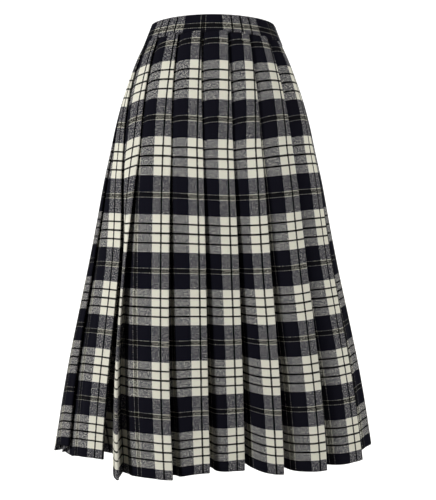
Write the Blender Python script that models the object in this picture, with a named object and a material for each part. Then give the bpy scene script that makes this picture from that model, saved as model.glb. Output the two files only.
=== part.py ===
"""Knee-length-and-longer knife-pleated tartan skirt, filled out on a general figure with no wearer.

The cloth is a thin wall folded into eighteen knife pleats that all turn the same way. The pleats are
held flat from the waist to the hip and open below it. At the front left, one pleat swings aside, so
that the next one shows as a ridge behind a dark gap. The skirt is cut as a front and a back panel,
joined in the hidden folds at both sides, and sewn to a straight waistband that laps at the wearer's
left and closes with one button.

Units are metres, +Z is up, the front faces -Y and +X is at the viewer's right. The origin is the middle
of the waist at the height of the waistband. Plan angles are degrees from the front centre towards +X.
"""

import math

import bmesh
import bpy
from mathutils import Matrix, Vector

# Cloth and sewing
CLOTH = 0.0012
SEAM_GAP = 0.0003
BAND_CLOTH = 0.003

# Waistband: the under end starts at BAND_START and the upper end laps over it
BAND_START = 100.0
BAND_LAP = 21.0
BAND_STEP = 6.5
BAND_RAMP = 14.0
BAND_INSET = 0.0008
BAND_LAYER_GAP = 0.0006

# Button on the lap
BUTTON_RADIUS = 0.009
BUTTON_THICKNESS = 0.0032
BUTTON_DISH = 0.0008
BUTTON_RIM = 0.0018
BUTTON_HOLE_RADIUS = 0.0011
BUTTON_HOLE_OFFSET = 0.0023
BUTTON_SIDES = 24
HOLE_SIDES = 10

# Pleats: where they are let go, and their layers at the hip and at the hem
HIP_Z = -0.235
THIGH_Z = -0.46
HEM_Z = -0.818
HIP_LAYER = 0.002
HEM_LAYER = 0.005
HIP_RECESS = 0.006
HIP_UNDER = 0.62
OPENING_POWER = 1.1
RECESS_LIFT = 0.004
FULL_RECESS = 0.040

# Shape of a pleat's face: how far along it from the last fold, and how deep as a share of the recess
FACE_COLUMNS = ("along", "depth")
FACE_POINTS = (
    (0.03, 0.76),
    (0.20, 0.32),
    (0.48, 0.10),
    (0.76, 0.02),
)

# Plan ovals through the outer folds, from the top of the waistband to the hem
RING_COLUMNS = ("z", "half_width", "front_depth", "back_depth", "side_lift")
RINGS = (
    (0.0160, 0.1165, 0.088, 0.087, -0.005),
    (-0.0155, 0.1310, 0.094, 0.095, -0.010),
    (-0.0500, 0.1450, 0.101, 0.106, -0.006),
    (-0.0900, 0.1585, 0.107, 0.118, -0.001),
    (-0.1400, 0.1740, 0.113, 0.131, 0.003),
    (-0.1900, 0.1865, 0.118, 0.142, 0.005),
    (-0.2350, 0.1955, 0.122, 0.150, 0.007),
    (-0.3000, 0.2090, 0.127, 0.159, 0.010),
    (-0.3800, 0.2228, 0.133, 0.169, 0.014),
    (-0.4700, 0.2392, 0.139, 0.181, 0.018),
    (-0.5700, 0.2598, 0.146, 0.194, 0.020),
    (-0.6700, 0.2802, 0.152, 0.207, 0.020),
    (-0.7500, 0.2942, 0.156, 0.217, 0.018),
    (-0.8180, 0.3045, 0.160, 0.225, 0.016),
)

# Outer folds: plan angle at the waist, hip, thigh and hem. Then at the hem: the share of the last pleat
# that is turned under, the depth of the recess behind the fold, how straight the next face climbs out of
# it, how far the fold stands out from the oval, how much higher it hangs and how much the cloth then rises
# into the recess.
FOLD_COLUMNS = ("waist", "hip", "thigh", "hem", "under", "recess", "steep", "out", "lift", "rise")
FRONT_FOLDS = (
    (-96.0, -80.0, -73.8, -65.0, 0.40, 0.011, 0.0, -0.006, 0.018, -0.020),
    (-80.0, -59.6, -46.4, -40.8, 0.45, 0.060, 0.45, 0.004, 0.012, -0.004),
    (-53.5, -44.3, -41.0, -31.4, 0.25, 0.052, 0.40, 0.034, -0.014, 0.002),
    (-29.5, -23.2, -19.0, -12.7, 0.25, 0.048, 0.0, 0.036, -0.006, 0.001),
    (-9.3, -5.5, -3.2, -1.1, 0.26, 0.044, 0.0, 0.006, 0.002, 0.002),
    (11.7, 10.7, 11.6, 11.2, 0.26, 0.050, 0.0, -0.018, -0.001, 0.006),
    (30.0, 26.9, 26.2, 24.3, 0.24, 0.048, 0.0, 0.010, -0.005, 0.007),
    (51.3, 49.0, 47.1, 43.3, 0.16, 0.038, 0.0, 0.000, -0.010, 0.004),
    (79.5, 76.0, 72.3, 67.2, 0.05, 0.028, 0.0, 0.000, -0.007, 0.010),
)
BACK_FOLDS = (
    (101.0, 100.0, 98.5, 96.0, 0.05, 0.026, 0.0, 0.000, 0.012, -0.009),
    (121.5, 122.0, 121.5, 121.0, 0.04, 0.028, 0.0, 0.006, 0.000, 0.003),
    (140.5, 142.5, 143.0, 144.0, 0.05, 0.026, 0.0, -0.008, 0.002, 0.002),
    (157.5, 161.5, 163.0, 165.0, 0.04, 0.030, 0.0, 0.008, -0.002, 0.005),
    (173.5, 179.5, 181.5, 184.0, 0.05, 0.026, 0.0, 0.000, 0.001, 0.002),
    (190.0, 197.0, 200.0, 203.5, 0.04, 0.030, 0.0, -0.010, 0.002, 0.001),
    (207.0, 215.5, 219.0, 223.5, 0.05, 0.028, 0.0, 0.008, -0.003, 0.006),
    (225.5, 235.5, 239.0, 243.5, 0.05, 0.030, 0.0, 0.000, 0.001, 0.003),
    (244.0, 256.5, 259.0, 263.0, 0.10, 0.034, 0.0, 0.008, -0.008, 0.002),
)
FOLDS = tuple(dict(zip(FOLD_COLUMNS, row)) for row in FRONT_FOLDS + BACK_FOLDS)
FACE = tuple(dict(zip(FACE_COLUMNS, row)) for row in FACE_POINTS)

# Colours and finishes
WOOL_DARK = (0.030, 0.026, 0.042, 1.0)
BUTTON_DARK = (0.020, 0.018, 0.024, 1.0)


def mix(low, high, share):
    return low + (high - low) * share


def clamp(value):
    return min(1.0, max(0.0, value))


def smooth(value):
    share = clamp(value)
    return share * share * (3.0 - 2.0 * share)


def ring_at(z):
    """The oval's sizes at a height of the front centre."""
    rows = [dict(zip(RING_COLUMNS, row)) for row in RINGS]
    for upper, lower in zip(rows, rows[1:]):
        if z >= lower["z"] or lower is rows[-1]:
            share = (upper["z"] - z) / (upper["z"] - lower["z"])
            return {name: mix(upper[name], lower[name], share) for name in RING_COLUMNS}
    raise ValueError(z)


def opening(z):
    """0 where the pleats are held, 1 at the hem."""
    return clamp((HIP_Z - z) / (HIP_Z - HEM_Z))


def even_slope(before, after):
    """Slope of a smooth curve where two chords meet, so that it never swings past its points."""
    return 2.0 * before * after / (before + after) if before * after > 0.0 else 0.0


def fold_angle(index, z):
    """Plan angle of an outer fold, as a smooth curve; folds past the last one go round once more."""
    turns, row = divmod(index, len(FOLDS))
    angles = [FOLDS[row][name] for name in ("waist", "hip", "thigh", "hem")]
    heights = (RINGS[1][0], HIP_Z, THIGH_Z, HEM_Z)
    chords = [(angles[k + 1] - angles[k]) / (heights[k] - heights[k + 1]) for k in range(3)]
    slopes = [chords[0], even_slope(chords[0], chords[1]), even_slope(chords[1], chords[2]), chords[2]]
    k = 0 if z > HIP_Z else 1 if z > THIGH_Z else 2
    span = heights[k] - heights[k + 1]
    down = clamp((heights[k] - z) / span)
    angle = mix(angles[k], angles[k + 1], smooth(down))
    angle += span * down * (1.0 - down) * (slopes[k] * (1.0 - down) - slopes[k + 1] * down)
    return angle + 360.0 * turns


def plan_point(z, angle, depth, lift=0.0):
    """A point of the cloth: its plan angle, how far inside the oval it lies and how much it is lifted."""
    ring = ring_at(z)
    turn = math.radians(angle)
    across = ring["half_width"]
    towards = ring["front_depth"] if math.cos(turn) >= 0.0 else ring["back_depth"]
    on_oval = Vector((across * math.sin(turn), -towards * math.cos(turn), 0.0))
    outward = Vector((towards * math.sin(turn), -across * math.cos(turn), 0.0)).normalized()
    height = z + ring["side_lift"] * math.sin(turn) ** 2 + lift
    point = on_oval - outward * depth
    return Vector((point.x, point.y, height))


def degrees_along(z, angle, length):
    """The plan angle that a length along the oval spans."""
    ring = ring_at(z)
    turn = math.radians(angle)
    towards = ring["front_depth"] if math.cos(turn) >= 0.0 else ring["back_depth"]
    speed = math.hypot(ring["half_width"] * math.cos(turn), towards * math.sin(turn))
    return math.degrees(length / speed)


def pleat_points(index, z):
    """One pleat, as plan angle, depth and lift.

    They are its outer fold, its turned-under layer, the inner fold square to that, and the next face.
    """
    share = opening(z)
    here = fold_angle(index, z)
    before = fold_angle(index - 1, z)
    after = fold_angle(index + 1, z)
    fold = FOLDS[index % len(FOLDS)]
    next_fold = FOLDS[(index + 1) % len(FOLDS)]
    layer = mix(HIP_LAYER, HEM_LAYER, share)
    recess = mix(HIP_RECESS, fold["recess"], share ** OPENING_POWER)
    inner = here - (here - before) * mix(HIP_UNDER, fold["under"], share)
    under_end = recess - layer
    back = (here - inner) / degrees_along(z, here, 1.0)
    inwards = under_end - layer
    slope = layer / math.hypot(back, inwards)
    turned = (inner + degrees_along(z, here, inwards * slope), under_end + back * slope)
    out = fold["out"] * share
    lift = fold["lift"] * share
    start_lift = lift + fold["rise"] * share
    points = [(here, -out, lift), (here, layer - out, lift)]
    points += [(angle, depth - out, start_lift) for angle, depth in ((inner, under_end), turned)]
    for row in FACE:
        face_out = mix(fold["out"], next_fold["out"], smooth(row["along"])) * share
        face_depth = mix(row["depth"], 1.0 - row["along"], fold["steep"] * share)
        face_lift = mix(next_fold["lift"] * share, start_lift, (1.0 - row["along"]) ** 2)
        points.append((mix(here, after, row["along"]), recess * face_depth - face_out, face_lift))
    return points


def cloth_point(z, angle, depth, lift):
    """A point of the cloth, with the deep folds hanging a little higher than the outer ones."""
    inside = clamp(depth / FULL_RECESS)
    return plan_point(z, angle, depth, lift + RECESS_LIFT * opening(z) * inside)


def panel_line(first, last, z):
    """The middle line of a panel's cloth at one height, from the seam before fold first to that after last."""
    line = pleat_points(first - 1, z)[3:]
    for index in range(first, last):
        line += pleat_points(index, z)
    line += pleat_points(last, z)[:3]
    points = [cloth_point(z, *place) for place in line]
    points.append(seam_end(last, z, points[-1]))
    return points


def seam_end(last, z, corner):
    """Where a panel stops just short of the next one, which starts below it in the same hidden fold."""
    start, following = [cloth_point(z, *place) for place in pleat_points(last, z)[3:5]]
    along = following - start
    facing = Vector((along.y, -along.x, 0.0)).normalized()
    rise = Vector((corner.x - start.x, corner.y - start.y, 0.0)).normalized()
    lean = rise.cross(facing).length
    clear = CLOTH / 2 + SEAM_GAP + CLOTH / 2 * lean
    return start + facing * clear


def offset_line(points, distance):
    """Move a line sideways in plan, keeping its distance through the corners."""
    moved = []
    for number, point in enumerate(points):
        sides = []
        if number > 0:
            sides.append(point - points[number - 1])
        if number < len(points) - 1:
            sides.append(points[number + 1] - point)
        normals = [Vector((side.y, -side.x, 0.0)).normalized() for side in sides]
        miter = normals[0]
        if len(normals) == 2:
            miter = (normals[0] + normals[1]) / (1.0 + normals[0].dot(normals[1]))
        moved.append(point + miter * distance)
    return moved


def wall_object(name, lines, thickness, material):
    """A closed wall of even thickness about a stack of lines, top line first."""
    mesh = bmesh.new()
    outer = [[mesh.verts.new(p) for p in offset_line(line, thickness / 2)] for line in lines]
    inner = [[mesh.verts.new(p) for p in offset_line(line, -thickness / 2)] for line in lines]
    last_row = len(lines) - 1
    last_point = len(lines[0]) - 1
    for row in range(last_row):
        for k in range(last_point):
            mesh.faces.new((outer[row][k], outer[row + 1][k], outer[row + 1][k + 1], outer[row][k + 1]))
            mesh.faces.new((inner[row][k], inner[row][k + 1], inner[row + 1][k + 1], inner[row + 1][k]))
        mesh.faces.new((outer[row][0], inner[row][0], inner[row + 1][0], outer[row + 1][0]))
        mesh.faces.new((outer[row][-1], outer[row + 1][-1], inner[row + 1][-1], inner[row][-1]))
    for k in range(last_point):
        mesh.faces.new((outer[0][k], outer[0][k + 1], inner[0][k + 1], inner[0][k]))
        mesh.faces.new((outer[last_row][k], inner[last_row][k], inner[last_row][k + 1], outer[last_row][k + 1]))
    return mesh_object(name, mesh, material)


def mesh_object(name, mesh, material):
    bmesh.ops.triangulate(mesh, faces=mesh.faces[:])
    data = bpy.data.meshes.new(name)
    mesh.to_mesh(data)
    mesh.free()
    data.materials.append(material)
    made = bpy.data.objects.new(name, data)
    bpy.context.scene.collection.objects.link(made)
    return made


def principled(name, colour, roughness, metallic=0.0):
    material = bpy.data.materials.new(name)
    material.use_nodes = True
    shader = material.node_tree.nodes["Principled BSDF"]
    shader.inputs["Base Color"].default_value = colour
    shader.inputs["Roughness"].default_value = roughness
    shader.inputs["Metallic"].default_value = metallic
    return material


def make_panel(name, first, last, material):
    """A pleated panel from just under the waistband to the hem."""
    lines = [panel_line(first, last, row[0]) for row in RINGS[1:]]
    return wall_object(name, lines, CLOTH, material)


def band_line(z, height):
    """The waistband's middle line at one height, going round once and then on over its own start."""
    line = []
    steps = math.ceil((360.0 + BAND_LAP) / BAND_STEP)
    for number in range(steps + 1):
        angle = BAND_START + (360.0 + BAND_LAP) * number / steps
        lapped = smooth((angle - (BAND_START + 360.0 - BAND_RAMP)) / (BAND_RAMP - BAND_STEP / 4))
        raised = lapped * (BAND_CLOTH + BAND_LAYER_GAP)
        line.append(plan_point(z, angle, BAND_INSET - raised, height))
    return line


def make_waistband(material):
    top, seam = RINGS[0][0], RINGS[1][0]
    lines = [band_line(top, 0.0), band_line(mix(top, seam, 0.5), 0.0), band_line(seam, SEAM_GAP)]
    return wall_object("waistband", lines, BAND_CLOTH, material)


def button_place():
    """Where the button sits on the lap: its centre's matrix, with +Z out of the cloth."""
    angle = BAND_START + BAND_LAP / 2
    middle = mix(RINGS[0][0], RINGS[1][0], 0.5)
    outside = BAND_INSET - (BAND_CLOTH + BAND_LAYER_GAP) - BAND_CLOTH / 2
    centre = plan_point(middle, angle, outside)
    upward = (plan_point(RINGS[0][0], angle, outside) - plan_point(RINGS[1][0], angle, outside)).normalized()
    side = plan_point(middle, angle + 1.0, outside) - plan_point(middle, angle - 1.0, outside)
    outward = side.cross(upward).normalized()
    side = upward.cross(outward)
    turned = Matrix((side, upward, outward)).transposed().to_4x4()
    return Matrix.Translation(centre + outward * SEAM_GAP) @ turned


def make_button(material):
    """A round four-hole button with a raised rim, turned from its profile."""
    mesh = bmesh.new()
    outline = (
        (0.0, 0.0),
        (BUTTON_RADIUS - BUTTON_DISH, 0.0),
        (BUTTON_RADIUS, BUTTON_DISH),
        (BUTTON_RADIUS, BUTTON_THICKNESS - BUTTON_DISH),
        (BUTTON_RADIUS - BUTTON_DISH, BUTTON_THICKNESS),
        (BUTTON_RADIUS - BUTTON_RIM, BUTTON_THICKNESS),
        (BUTTON_RADIUS - BUTTON_RIM - BUTTON_DISH, BUTTON_THICKNESS - BUTTON_DISH),
        (0.0, BUTTON_THICKNESS - BUTTON_DISH),
    )
    points = [mesh.verts.new((radius, 0.0, height)) for radius, height in outline]
    edges = [mesh.edges.new(pair) for pair in zip(points, points[1:])]
    bmesh.ops.spin(
        mesh, geom=points + edges, cent=(0, 0, 0), axis=(0, 0, 1), angle=2 * math.pi, steps=BUTTON_SIDES,
    )
    bmesh.ops.remove_doubles(mesh, verts=mesh.verts[:], dist=1e-6)
    bmesh.ops.recalc_face_normals(mesh, faces=mesh.faces[:])
    place = button_place()
    button = mesh_object("waist_button", mesh, material)
    button.matrix_world = place
    for right in (-1, 1):
        for up in (-1, 1):
            hole = hole_cutter(place, right * BUTTON_HOLE_OFFSET, up * BUTTON_HOLE_OFFSET)
            cut = button.modifiers.new("thread hole", "BOOLEAN")
            cut.operation = "DIFFERENCE"
            cut.object = hole
    return button


def hole_cutter(place, right, up):
    mesh = bmesh.new()
    bmesh.ops.create_cone(
        mesh, cap_ends=True, segments=HOLE_SIDES, radius1=BUTTON_HOLE_RADIUS, radius2=BUTTON_HOLE_RADIUS,
        depth=BUTTON_THICKNESS * 3,
    )
    data = bpy.data.meshes.new("thread hole cutter")
    mesh.to_mesh(data)
    mesh.free()
    cutter = bpy.data.objects.new("thread hole cutter", data)
    bpy.context.scene.collection.objects.link(cutter)
    cutter.matrix_world = place @ Matrix.Translation((right, up, BUTTON_THICKNESS / 2))
    cutter.hide_render = True
    cutter.display_type = "WIRE"
    return cutter


def main():
    for thing in list(bpy.data.objects):
        bpy.data.objects.remove(thing, do_unlink=True)
    cloth = principled("pleated wool tartan", WOOL_DARK, 0.85)
    band_cloth = principled("waistband wool tartan", WOOL_DARK, 0.85)
    button_finish = principled("dark button", BUTTON_DARK, 0.35)
    front_count = len(FRONT_FOLDS)
    make_panel("skirt_front", 0, front_count - 1, cloth)
    make_panel("skirt_back", front_count, len(FOLDS) - 1, cloth)
    make_waistband(band_cloth)
    make_button(button_finish)
    bpy.context.view_layer.update()


main()
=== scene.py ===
"""Looks of a long knife-pleated tartan skirt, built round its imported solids.

Laid out as an add-on and run as a script. Units are metres, +Z is up and the front faces -Y. Plan
angles are degrees from the front centre towards +X. Patterns are measured in repeats of the tartan,
called setts.
"""

import math

import bmesh
import bpy
import numpy as np
from mathutils import Matrix, Vector


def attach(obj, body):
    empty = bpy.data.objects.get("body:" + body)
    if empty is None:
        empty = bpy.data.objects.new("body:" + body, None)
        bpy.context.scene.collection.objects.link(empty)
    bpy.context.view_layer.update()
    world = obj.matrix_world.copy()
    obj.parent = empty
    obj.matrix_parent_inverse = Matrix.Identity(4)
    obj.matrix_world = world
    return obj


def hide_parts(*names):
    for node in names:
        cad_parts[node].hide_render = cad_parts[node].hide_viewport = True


bl_info = {
    "name": "Pleated tartan skirt",
    "version": (1, 0, 0),
    "blender": (4, 5, 0),
    "location": "View3D > Sidebar > Skirt",
    "description": "Makes the cloth, sewing and stage of a knife-pleated tartan skirt",
    "category": "Object",
}

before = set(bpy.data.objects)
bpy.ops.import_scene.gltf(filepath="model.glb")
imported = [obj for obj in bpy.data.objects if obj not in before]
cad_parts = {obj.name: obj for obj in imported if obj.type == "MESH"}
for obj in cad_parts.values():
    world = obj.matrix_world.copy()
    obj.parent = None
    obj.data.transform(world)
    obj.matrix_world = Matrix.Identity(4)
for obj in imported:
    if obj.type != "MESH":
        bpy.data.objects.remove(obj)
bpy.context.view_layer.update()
BODY = "root"

# Waistband
BAND_CLOTH = 0.003
BAND_START = 100.0
BAND_LAP = 21.0
BAND_RAMP = 14.0
BAND_RAMP_END = 12.4
BAND_INSET = 0.0008
BAND_LAYER_GAP = 0.0006
BAND_LIP = 0.0012
BAND_EDGE_ROUND = 0.0005
BAND_SPREAD = 0.0066
BAND_SPREAD_HEIGHT = 0.016
BAND_STEPS = 280
BAND_ROWS = 10
BAND_ROUND_STEPS = 4
BAND_YELLOW_DROP = 0.0222
BAND_SETT_ANGLE = -8.3

# Button: its outline is in shares of its radius and thickness, from the middle of its back to the middle
# of its front
BUTTON_GAP = 0.0003
BUTTON_SIDES = 72
BUTTON_HOLE_RADIUS = 0.0011
BUTTON_HOLE_OFFSET = 0.0023
BUTTON_HOLE_SIDES = 20
BUTTON_SHARP_ANGLE = 40.0
BUTTON_OUTLINE = (
    (0.0, 0.0),
    (0.80, 0.0),
    (0.93, 0.06),
    (0.99, 0.25),
    (1.0, 0.50),
    (0.985, 0.75),
    (0.93, 0.94),
    (0.86, 1.0),
    (0.79, 0.94),
    (0.74, 0.80),
    (0.68, 0.74),
    (0.0, 0.72),
)

# Sewing: the thread rises over the button by a share of its thickness, and the buttonhole is a share of
# its radius. The spacing of the strands and the pitch of the buttonhole are in thread radii, and the
# buttonhole's round end and stitches are shares of its rim.
THREAD_SIDES = 6
THREAD_ARC_STEPS = 14
THREAD_RISE = 0.95
THREAD_STRANDS = (-1.5, -0.5, 0.5, 1.5)
THREAD_SPACING = 1.7
BUTTONHOLE_SHARE = 1.32
BUTTONHOLE_RIM = 0.0011
BUTTONHOLE_RAISED = 0.0001
BUTTONHOLE_END = 0.6
BUTTONHOLE_STITCH = 1.5
BUTTONHOLE_PITCH = 2.2
LAP_STITCH_INSET = 0.0035
LAP_STITCH_RAISED = 0.00005
LAP_STITCH_PITCH = 0.0032
LAP_STITCH_LENGTH = 0.0022
HEM_STITCH_ABOVE = 0.001
HEM_STITCH_SHARE = 0.22
HEM_STITCH_TURN = 35.0

# Pleats: heights, the room that one layer takes where pressed and where open, and how the recess behind a
# fold opens on the way down. A pleat's face is given as shares along it and shares of the recess.
HIP_Z = -0.235
THIGH_Z = -0.46
HEM_Z = -0.818
HIP_LAYER = 0.002
HEM_LAYER = 0.005
HIP_RECESS = 0.006
HIP_UNDER = 0.62
OPENING_POWER = 1.1
RECESS_LIFT = 0.004
FULL_RECESS = 0.040
FACE_POINTS = ((0.03, 0.76), (0.20, 0.32), (0.48, 0.10), (0.76, 0.02))

# Plan ovals through the outer folds, from the top of the waistband to the hem: height, half width, depth
# in front, depth behind and how much higher the sides are
RINGS = (
    (0.016, 0.1165, 0.088, 0.087, -0.005),
    (-0.0155, 0.131, 0.094, 0.095, -0.01),
    (-0.05, 0.145, 0.101, 0.106, -0.006),
    (-0.09, 0.1585, 0.107, 0.118, -0.001),
    (-0.14, 0.174, 0.113, 0.131, 0.003),
    (-0.19, 0.1865, 0.118, 0.142, 0.005),
    (-0.235, 0.1955, 0.122, 0.15, 0.007),
    (-0.3, 0.209, 0.127, 0.159, 0.01),
    (-0.38, 0.2228, 0.133, 0.169, 0.014),
    (-0.47, 0.2392, 0.139, 0.181, 0.018),
    (-0.57, 0.2598, 0.146, 0.194, 0.02),
    (-0.67, 0.2802, 0.152, 0.207, 0.02),
    (-0.75, 0.2942, 0.156, 0.217, 0.018),
    (-0.818, 0.3045, 0.16, 0.225, 0.016),
)

# Outer folds: plan angle at the waist, hip, thigh and hem. Then at the hem: the share of the last pleat
# that is turned under, the depth of the recess behind the fold, how straight the next face climbs out of
# it, how far the fold stands out from the oval, how much higher it hangs and how much the cloth then
# rises into the recess.
FOLD_COLUMNS = ("waist", "hip", "thigh", "hem", "under", "recess", "steep", "out", "lift", "rise")
FRONT_FOLDS = (
    (-96.0, -80.0, -73.8, -65.0, 0.4, 0.011, 0.0, -0.006, 0.018, -0.02),
    (-80.0, -59.6, -46.4, -40.8, 0.45, 0.06, 0.45, 0.004, 0.012, -0.004),
    (-53.5, -44.3, -41.0, -31.4, 0.25, 0.052, 0.4, 0.034, -0.014, 0.002),
    (-29.5, -23.2, -19.0, -12.7, 0.25, 0.048, 0.0, 0.036, -0.006, 0.001),
    (-9.3, -5.5, -3.2, -1.1, 0.26, 0.044, 0.0, 0.006, 0.002, 0.002),
    (11.7, 10.7, 11.6, 11.2, 0.26, 0.05, 0.0, -0.018, -0.001, 0.006),
    (30.0, 26.9, 26.2, 24.3, 0.24, 0.048, 0.0, 0.01, -0.005, 0.007),
    (51.3, 49.0, 47.1, 43.3, 0.16, 0.038, 0.0, 0.0, -0.01, 0.004),
    (79.5, 76.0, 72.3, 67.2, 0.05, 0.028, 0.0, 0.0, -0.007, 0.01),
)
BACK_FOLDS = (
    (101.0, 100.0, 98.5, 96.0, 0.05, 0.026, 0.0, 0.0, 0.012, -0.009),
    (121.5, 122.0, 121.5, 121.0, 0.04, 0.028, 0.0, 0.006, 0.0, 0.003),
    (140.5, 142.5, 143.0, 144.0, 0.05, 0.026, 0.0, -0.008, 0.002, 0.002),
    (157.5, 161.5, 163.0, 165.0, 0.04, 0.03, 0.0, 0.008, -0.002, 0.005),
    (173.5, 179.5, 181.5, 184.0, 0.05, 0.026, 0.0, 0.0, 0.001, 0.002),
    (190.0, 197.0, 200.0, 203.5, 0.04, 0.03, 0.0, -0.01, 0.002, 0.001),
    (207.0, 215.5, 219.0, 223.5, 0.05, 0.028, 0.0, 0.008, -0.003, 0.006),
    (225.5, 235.5, 239.0, 243.5, 0.05, 0.03, 0.0, 0.0, 0.001, 0.003),
    (244.0, 256.5, 259.0, 263.0, 0.1, 0.034, 0.0, 0.008, -0.008, 0.002),
)
FOLDS = tuple(dict(zip(FOLD_COLUMNS, row)) for row in FRONT_FOLDS + BACK_FOLDS)

# Soft troughs (positive depth) and ridges (negative) pressed and hung into the cloth: plan angle at the
# top, lean in degrees, top, bottom, width in degrees and depth. Those that end high up fade at both ends,
# and the others grow towards the hem.
PRESSED_END_Z = -0.335
HUNG_GROWTH = 1.4
CREASES = (
    (-88.0, 19.0, -0.03, -0.25, 8.0, -0.0014),
    (-67.0, 14.0, -0.02, -0.24, 8.0, -0.0016),
    (-41.0, 8.0, -0.02, -0.26, 8.0, -0.002),
    (-19.0, 5.0, -0.02, -0.22, 7.0, -0.0022),
    (2.0, 1.0, -0.02, -0.25, 7.0, -0.0018),
    (23.0, -4.0, -0.02, -0.23, 7.0, -0.0022),
    (44.0, -6.0, -0.02, -0.26, 8.0, -0.0018),
    (68.0, -6.0, -0.02, -0.24, 8.0, -0.0016),
    (111.0, 0.0, -0.02, -0.25, 8.0, -0.002),
    (131.0, 1.0, -0.02, -0.22, 7.5, -0.0017),
    (149.0, 3.0, -0.03, -0.26, 7.0, -0.0019),
    (165.0, 5.0, -0.02, -0.24, 6.5, -0.0022),
    (182.0, 6.0, -0.02, -0.23, 7.0, -0.0018),
    (198.0, 8.0, -0.03, -0.26, 7.0, -0.002),
    (216.0, 9.0, -0.02, -0.22, 7.5, -0.0016),
    (235.0, 11.0, -0.02, -0.25, 7.5, -0.0021),
    (254.0, 14.0, -0.02, -0.24, 8.0, -0.0018),
    (-57.0, 6.0, -0.42, -0.82, 5.0, -0.0026),
    (-33.0, 7.0, -0.4, -0.82, 4.0, 0.0028),
    (-22.0, 6.0, -0.52, -0.82, 3.6, -0.003),
    (-9.0, 2.0, -0.44, -0.8, 3.0, 0.002),
    (6.0, 0.5, -0.36, -0.78, 3.5, 0.0024),
    (18.5, -1.5, -0.42, -0.82, 4.0, -0.0028),
    (37.0, -3.0, -0.38, -0.82, 4.5, 0.003),
    (58.0, -5.0, -0.46, -0.82, 6.0, -0.0036),
    (84.0, -6.0, -0.4, -0.82, 7.0, 0.0038),
    (110.0, -2.0, -0.34, -0.82, 7.0, -0.0034),
    (133.0, 0.0, -0.44, -0.82, 6.0, 0.0036),
    (152.0, 1.0, -0.36, -0.82, 6.0, -0.0036),
    (173.0, 2.0, -0.42, -0.82, 6.0, 0.0034),
    (191.0, 3.0, -0.38, -0.82, 5.5, -0.003),
    (210.0, 4.0, -0.46, -0.82, 6.0, 0.0038),
    (230.0, 4.0, -0.4, -0.82, 6.0, -0.0034),
    (249.0, 4.0, -0.36, -0.82, 6.0, 0.0032),
    (275.0, 5.0, -0.44, -0.82, 7.0, 0.0014),
)

# Cloth mesh: rows down the skirt and columns in each stretch of a pleat
CLOTH_ROWS = 118
CLOTH_TOP_Z = -0.0140
FACE_STEPS = (5, 4, 6, 6, 6)
ARC_STEPS = 5
UNDER_STEPS = 5
FOLD_SHIFT = 0.7
HEM_EDGE_DROP = 0.0006
TURNING_BLEND = 0.002
MITER_LIMIT = 0.6

# How far the top of the cloth dips beside a held fold, and the shares of that dip over a pleat
DIP_TOP = 0.0048
DIP_END_Z = -0.30
DIP_FADE = 0.12
FACE_DIPS = (1.0, 1.0, 0.45, 0.05, 0.0, 0.10)
ARC_DIP = 0.12
UNDER_DIP = 0.3
PANEL_END_DIP = 0.6

# Where the tartan lies on the cloth: the first change from dark to light and the drop of each half sett
# below it
PATTERN_START_Z = -0.0703
PATTERN_START = 0.25
HALF_SETT_DROPS = (
    0.0733, 0.0729, 0.0725, 0.0693, 0.0678, 0.0651,
    0.0641, 0.0625, 0.0627, 0.0612, 0.0594, 0.0590,
)

# Where the folds lie in the sett, in metres, and by how many setts the front's pattern misses the back's
# at the wearer's right
FOLD_AT_WAIST = 0.0532
FOLD_AT_HIP = 0.0637
FOLD_EASE = 0.22
SIDE_SEAM_SHIFT = 0.23

# Unevenness of the pleating, a row for each fold, in millimetres at the waist, hip, thigh and hem: how
# far the fold is pressed past its stripe, and how much lower the stripes hang there
UNEVEN_COLUMNS = ("waist", "hip", "thigh", "hem")
PRESSED_PAST = (
    (0.0, -10.0, -6.0, 0.0),
    (0.0, 2.0, 5.0, 5.0),
    (4.0, 3.0, 4.0, -1.0),
    (3.3, 3.3, 2.6, 1.6),
    (-0.8, -1.3, -0.7, -0.9),
    (-3.0, -1.6, 1.6, 1.0),
    (-4.7, -0.4, 3.5, 0.8),
    (0.2, 2.0, 4.6, 2.0),
    (2.0, 5.0, 9.0, 6.5),
    (1.0, 3.0, 4.0, 2.0),
    (0.0, 1.0, 1.5, 0.5),
    (1.5, 0.5, 2.0, 1.0),
    (0.5, 1.5, 0.0, -0.5),
    (0.0, 2.0, 2.5, 1.5),
    (1.0, 0.0, 1.0, 2.0),
    (0.5, 1.0, 2.5, 0.0),
    (0.0, 1.5, 0.5, 1.0),
    (1.0, 2.0, 3.0, 1.0),
)
HANG_LOWER = (
    (8.0, 5.0, 3.0, 0.2),
    (11.0, 7.2, 1.0, 0.4),
    (1.5, -5.5, -0.5, 0.0),
    (-0.5, -4.5, -2.6, 0.5),
    (-1.0, -0.6, -0.4, 0.0),
    (0.8, 1.6, 0.3, -3.4),
    (0.0, -1.0, -1.4, -0.8),
    (2.0, -6.6, -5.8, -2.6),
    (0.5, -8.6, -5.2, -2.0),
    (-2.0, -5.0, -6.0, -8.0),
    (0.0, -2.0, 0.5, 1.0),
    (1.0, 0.5, -1.0, 0.0),
    (0.0, -1.5, 0.0, -0.5),
    (-1.0, 1.0, 1.5, 0.5),
    (0.5, -0.5, -1.5, 0.0),
    (0.0, 1.5, 0.5, 1.0),
    (2.0, 2.5, -0.5, -0.5),
    (4.0, 3.0, 6.0, 7.0),
)

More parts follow.
